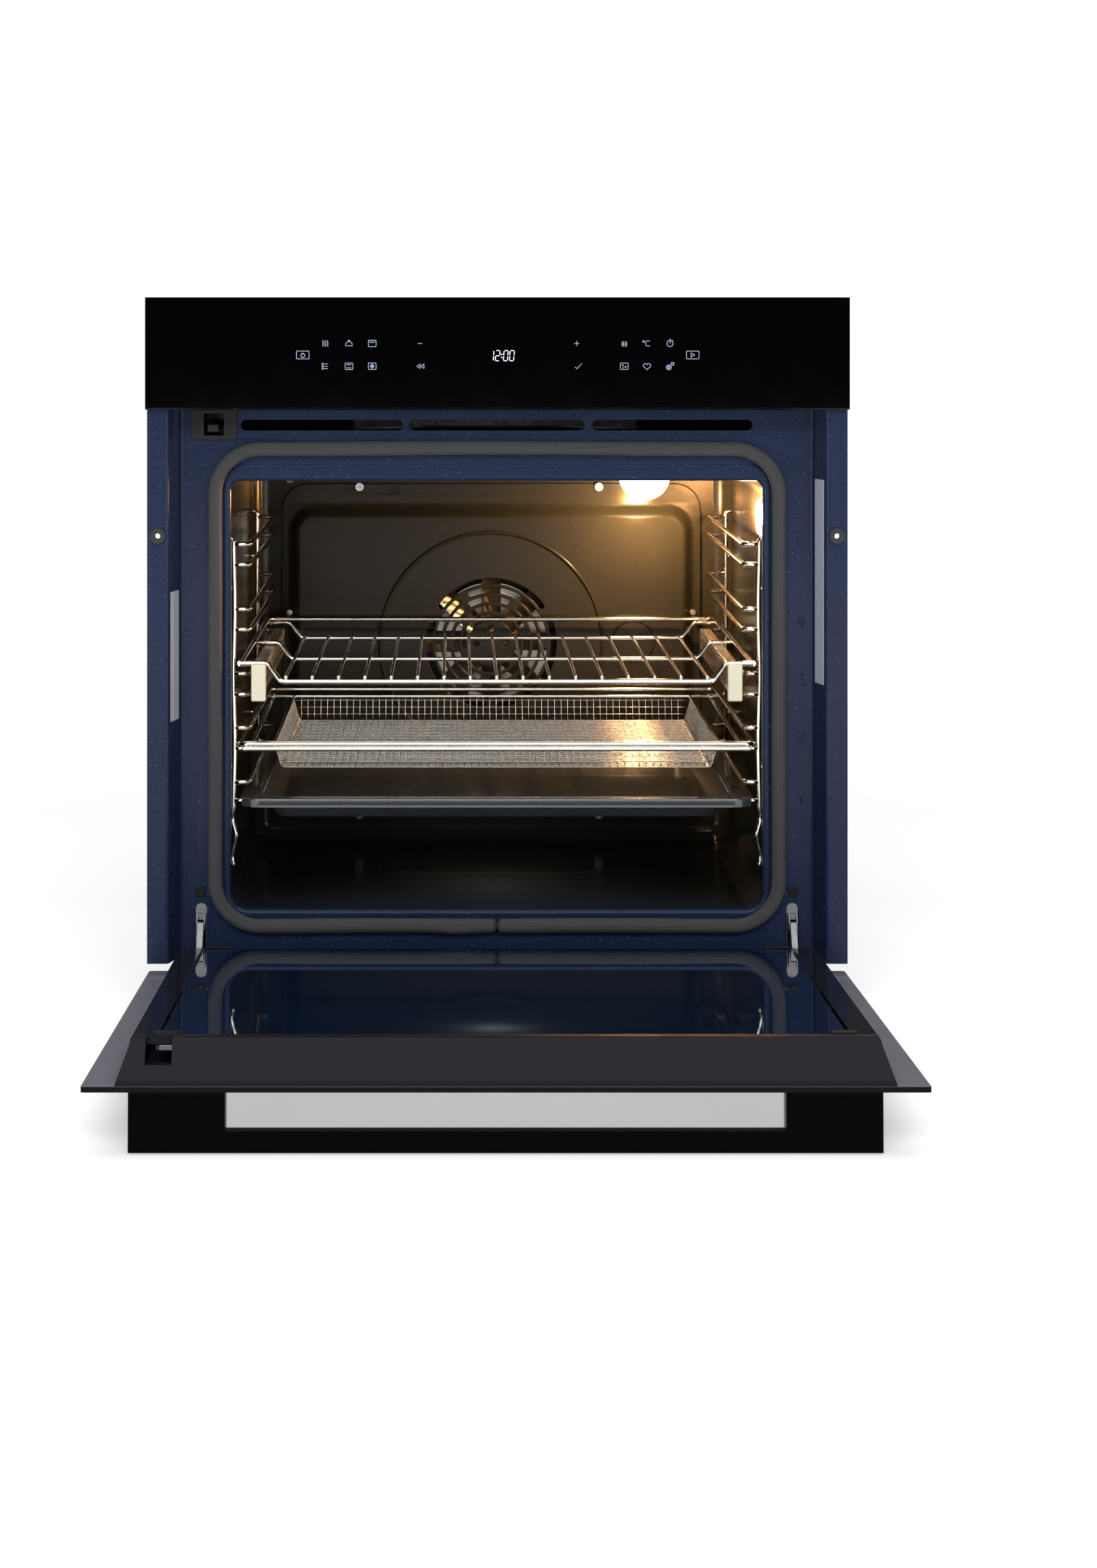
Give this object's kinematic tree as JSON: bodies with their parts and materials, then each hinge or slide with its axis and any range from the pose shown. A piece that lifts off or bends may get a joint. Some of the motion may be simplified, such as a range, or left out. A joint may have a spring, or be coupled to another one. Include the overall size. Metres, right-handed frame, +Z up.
{
  "type": "wall oven",
  "caption": "Built-in wall oven with a drop-down glass door, touch panel, side racks, wire shelf on runners, mesh basket and baking tray.",
  "frame": {"origin": "centre of the underside of the oven's base", "axes": "+X to the right seen from the front, +Y from the front into the wall, +Z up"},
  "size_m": [0.595, 1.0002, 0.6061],
  "materials": {
    "zinc_sheet": "galvanised sheet, dull",
    "navy_enamel": "glossy navy enamel with fine pale specks",
    "cover_enamel": "glossy dark enamel",
    "black_glass": "black printed glass, polished",
    "door_glass": "dark printed glass",
    "clear_glass": "clear glass",
    "mirror_glass": "heat-reflecting coated glass",
    "lamp_glass": "pressed lamp glass",
    "chrome_wire": "polished chromed wire",
    "steel": "plain steel",
    "bare_aluminium": "bare aluminium",
    "braid": "charcoal braided glass fibre",
    "mineral_wool": "mineral wool",
    "rubber_black": "black rubber",
    "black_plastic": "satin black plastic",
    "black_gloss": "glossy black",
    "charcoal_plastic": "charcoal plastic",
    "cream_plastic": "cream moulded plastic",
    "circuit": "green circuit board",
    "label_white": "blank sticker"
  },
  "bodies": {
    "oven_body": {"air_duct": "zinc_sheet", "base_plate": "zinc_sheet", "bottom_element": "steel", "cavity_fasteners": "steel", "cavity_liner": "navy_enamel", "circuit_boards": "circuit", "control_glass": "black_glass", "control_housing": "black_plastic", "cooling_fan_housing": "zinc_sheet", "cooling_fan_motor": "steel", "door_gasket": "braid", "fan_cover": "cover_enamel", "fan_motor": "steel", "frame_screws": "black_plastic", "front_frame": "navy_enamel", "grill_element": "steel", "hinge_arms": "zinc_sheet", "hinge_receivers": "zinc_sheet", "insulation_wrap": "mineral_wool", "lamp_bulbs": "lamp_glass", "lamp_housings": "steel", "lamp_lenses": "lamp_glass", "latch_housing": "black_plastic", "left_side_panel": "zinc_sheet", "left_side_rack": "chrome_wire", "mounting_grommets": "rubber_black", "rear_cover": "zinc_sheet", "right_side_panel": "zinc_sheet", "right_side_rack": "chrome_wire", "ring_element": "steel", "runner_rails": "steel", "side_labels": "label_white", "temperature_sensor": "steel", "terminal_block": "black_plastic", "top_cover": "zinc_sheet"},
    "door": {"door_outer_glass": "door_glass", "right_door_rail": "black_gloss", "left_door_rail": "black_gloss", "door_bottom_channel": "black_plastic", "door_top_trim": "charcoal_plastic", "door_middle_glass": "clear_glass", "door_inner_glass": "mirror_glass", "glass_retainers": "black_plastic", "hinge_cases": "zinc_sheet", "hinge_pins": "steel", "hinge_springs": "steel", "door_handle": "black_gloss", "handle_screws": "steel"},
    "convection_fan": {"convection_fan": "bare_aluminium"},
    "cooling_fan": {"cooling_fan_wheel": "bare_aluminium"},
    "latch": {"latch_hook": "black_plastic"},
    "right_lever": {"right_lock_lever": "zinc_sheet"},
    "left_lever": {"left_lock_lever": "zinc_sheet"},
    "shelf_on_runners": {"runner_slides": "steel", "runner_end_caps": "cream_plastic", "shelf_rim": "chrome_wire", "shelf_wires": "chrome_wire"},
    "basket": {"basket_frame": "chrome_wire", "mesh_basket": "chrome_wire"},
    "tray": {"baking_tray": "navy_enamel"}
  },
  "joints": [
    {"name": "door_hinge", "type": "hinge", "parent": "oven_body", "child": "door", "pos_m": [0, -0.265, 0.03], "axis": [1, 0, 0], "range_deg": [-87.5, 0]},
    {"name": "shelf_slide", "type": "slide", "parent": "oven_body", "child": "shelf_on_runners", "axis": [0, -1, 0], "range_m": [0, 0.24]},
    {"name": "basket_slide", "type": "slide", "parent": "oven_body", "child": "basket", "axis": [0, -1, 0], "range_m": [0, 0.2]},
    {"name": "tray_slide", "type": "slide", "parent": "oven_body", "child": "tray", "axis": [0, -1, 0], "range_m": [0, 0.2]},
    {"name": "latch_turn", "type": "hinge", "parent": "oven_body", "child": "latch", "pos_m": [-0.2425, -0.219, 0.485], "axis": [1, 0, 0], "range_deg": [0, 7]},
    {"name": "right_lever_turn", "type": "hinge", "parent": "oven_body", "child": "right_lever", "pos_m": [0.2534, -0.242, 0.057], "axis": [1, 0, 0], "range_deg": [0, 65]},
    {"name": "left_lever_turn", "type": "hinge", "parent": "oven_body", "child": "left_lever", "pos_m": [-0.2534, -0.242, 0.057], "axis": [1, 0, 0], "range_deg": [0, 65]},
    {"name": "convection_fan_spin", "type": "hinge", "parent": "oven_body", "child": "convection_fan", "pos_m": [0, 0.202, 0.255], "axis": [0, 1, 0], "continuous": true},
    {"name": "cooling_fan_spin", "type": "hinge", "parent": "oven_body", "child": "cooling_fan", "pos_m": [0, 0.066, 0.5], "axis": [0, 0, 1], "continuous": true}
  ]
}
